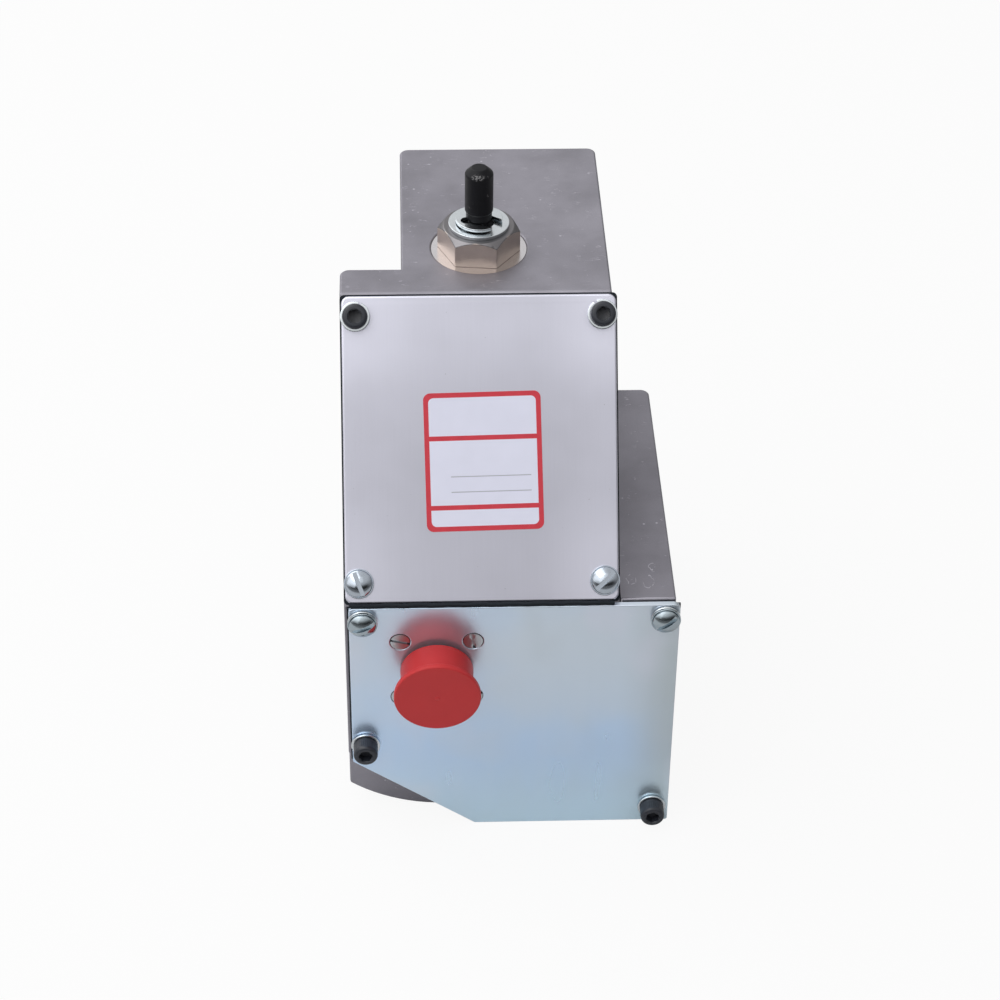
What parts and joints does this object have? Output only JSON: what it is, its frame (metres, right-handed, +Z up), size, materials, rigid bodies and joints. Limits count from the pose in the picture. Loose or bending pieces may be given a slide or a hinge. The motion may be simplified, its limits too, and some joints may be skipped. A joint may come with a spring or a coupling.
{
  "type": "engine governor actuator",
  "caption": "Electric governor actuator: cast housing with sloped and front covers, round connector under a red cap, stop shaft on top and a sprung lever inside that moves a pump's rack.",
  "frame": {"origin": "centre of the pilot bore on the rear mounting face", "axes": "+Y out of the mounting face toward the pump, +Z up from the flat base, +X to the right as seen from the front"},
  "size_m": [0.1056, 0.1598, 0.2014],
  "materials": {
    "cast_aluminium": "as-cast, machined faces",
    "brushed_cover": "satin brushed",
    "zinc_sheet": "bright zinc plate",
    "zinc_fastener": "bright zinc plate",
    "black_oxide": "black oxide",
    "gasket": "black composite",
    "label": "white with a red edge",
    "connector_metal": "dull olive",
    "insulator": "moulded black",
    "contact_brass": "plated brass",
    "red_cap": "moulded red",
    "gland_nickel": "nickel-plated brass",
    "seal": "ring seal",
    "core_iron": "stacked sheet iron",
    "copper": "enamelled copper wire",
    "lead_red": "insulated lead",
    "steel": "machined steel"
  },
  "bodies": {
    "housing": {"housing": "cast_aluminium", "upper_gasket": "gasket", "upper_cover": "brushed_cover", "upper_cap_screws": "black_oxide", "upper_cap_washers": "zinc_fastener", "upper_pan_screws": "zinc_fastener", "lower_gasket": "gasket", "lower_cover": "zinc_sheet", "lower_pan_screws": "zinc_fastener", "lower_pan_washers": "zinc_fastener", "lower_cap_screws": "black_oxide", "lower_cap_washers": "zinc_fastener", "data_label": "label", "connector_shell": "connector_metal", "connector_gasket": "gasket", "connector_insert": "insulator", "connector_contacts": "contact_brass", "connector_screws": "zinc_fastener", "gland_nut": "gland_nickel", "gland_seal": "seal", "shaft_washer": "zinc_fastener", "magnet_core": "core_iron", "core_screws": "zinc_fastener", "coil_bobbins": "insulator", "coil_windings": "copper", "lead_wires": "lead_red", "left_bearing": "steel", "right_bearing": "steel", "bearing_plugs": "steel", "return_spring": "steel", "spring_anchor": "steel"},
    "rocker": {"rocker_shaft": "steel", "armature": "core_iron", "armature_pin": "steel", "lever": "steel", "lever_pin": "steel", "link_pin": "steel", "link_clip": "zinc_fastener", "spring_post": "steel"},
    "link": {"rack_link": "steel"},
    "stop": {"stop_shaft": "black_oxide", "shaft_clip": "zinc_fastener", "stop_arm": "steel", "stop_arm_pin": "steel"},
    "cap": {"dust_cap": "red_cap"}
  },
  "joints": [
    {"name": "rocker_swing", "type": "hinge", "parent": "housing", "child": "rocker", "pos_m": [0, -0.058, 0.071], "axis": [1, 0, 0], "range_deg": [0, 20], "stiffness_Nm_per_rad": 0.6, "springref_deg": -28.65, "deforming": ["return_spring"]},
    {"name": "link_pivot", "type": "hinge", "parent": "rocker", "child": "link", "pos_m": [0.0198, -0.05053, 0.11335], "axis": [1, 0, 0], "range_deg": [-20, 0]},
    {"name": "stop_turn", "type": "hinge", "parent": "housing", "child": "stop", "pos_m": [-0.008, -0.0614, 0], "axis": [0, 0, 1], "range_deg": [0, 80]},
    {"name": "cap_pull", "type": "slide", "parent": "housing", "child": "cap", "axis": [0, -1, 0], "range_m": [0, 0.025]}
  ],
  "couplings": [
    {"joint": "link_pivot", "follows": "rocker_swing", "ratio": -1}
  ]
}
